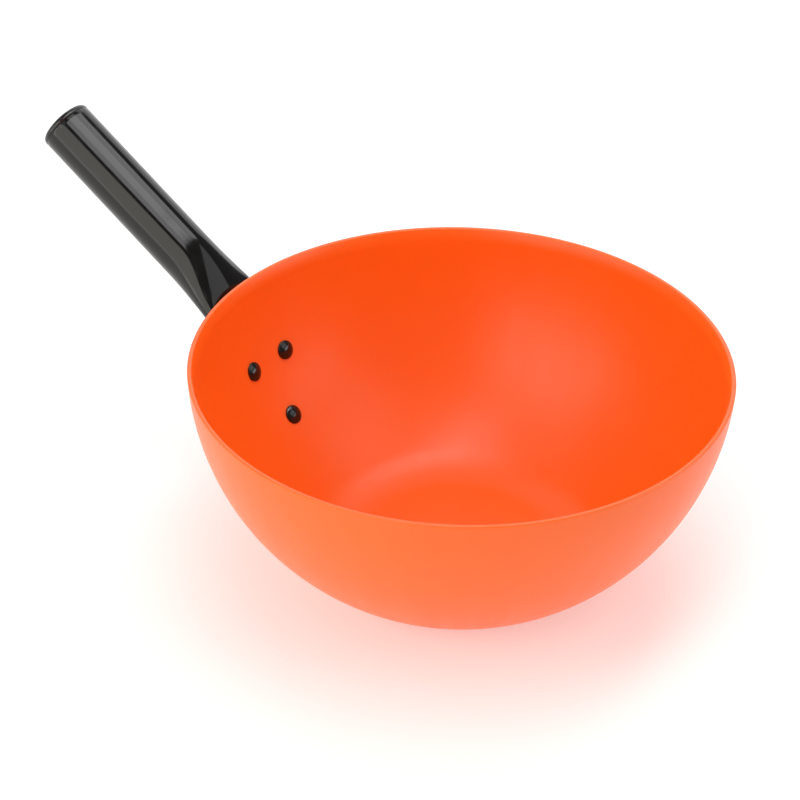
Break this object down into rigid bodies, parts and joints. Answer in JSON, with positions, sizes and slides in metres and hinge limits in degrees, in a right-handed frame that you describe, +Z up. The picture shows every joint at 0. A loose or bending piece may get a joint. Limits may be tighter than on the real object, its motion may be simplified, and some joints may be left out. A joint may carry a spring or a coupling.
{
  "type": "beach sand scoop",
  "caption": "Hand scoop for loose sand: a deep round-bottomed plastic bowl with a slanted tube handle riveted to its outside.",
  "frame": {"origin": "centre of the bowl's flat base, on the surface it stands on", "axes": "+Z up through the bowl's mouth; the handle leaves along -X and rises; +Y across the handle"},
  "size_m": [0.3695, 0.2499, 0.1655],
  "materials": {
    "bowl_orange": "polished injection-moulded polypropylene, bright orange",
    "handle_black": "glossy extruded pipe, heat-formed at its lower end, black",
    "plug_black": "glossy moulded polyethylene, black",
    "rivet_black": "glossy moulded nylon, black"
  },
  "bodies": {
    "root": {"bowl": "bowl_orange", "handle_tube": "handle_black", "end_plug": "plug_black", "rivet_cap_left": "rivet_black", "rivet_cap_right": "rivet_black", "rivet_cap_lower": "rivet_black", "rivet_pin_left": "rivet_black", "rivet_pin_right": "rivet_black", "rivet_pin_lower": "rivet_black"}
  },
  "joints": []
}
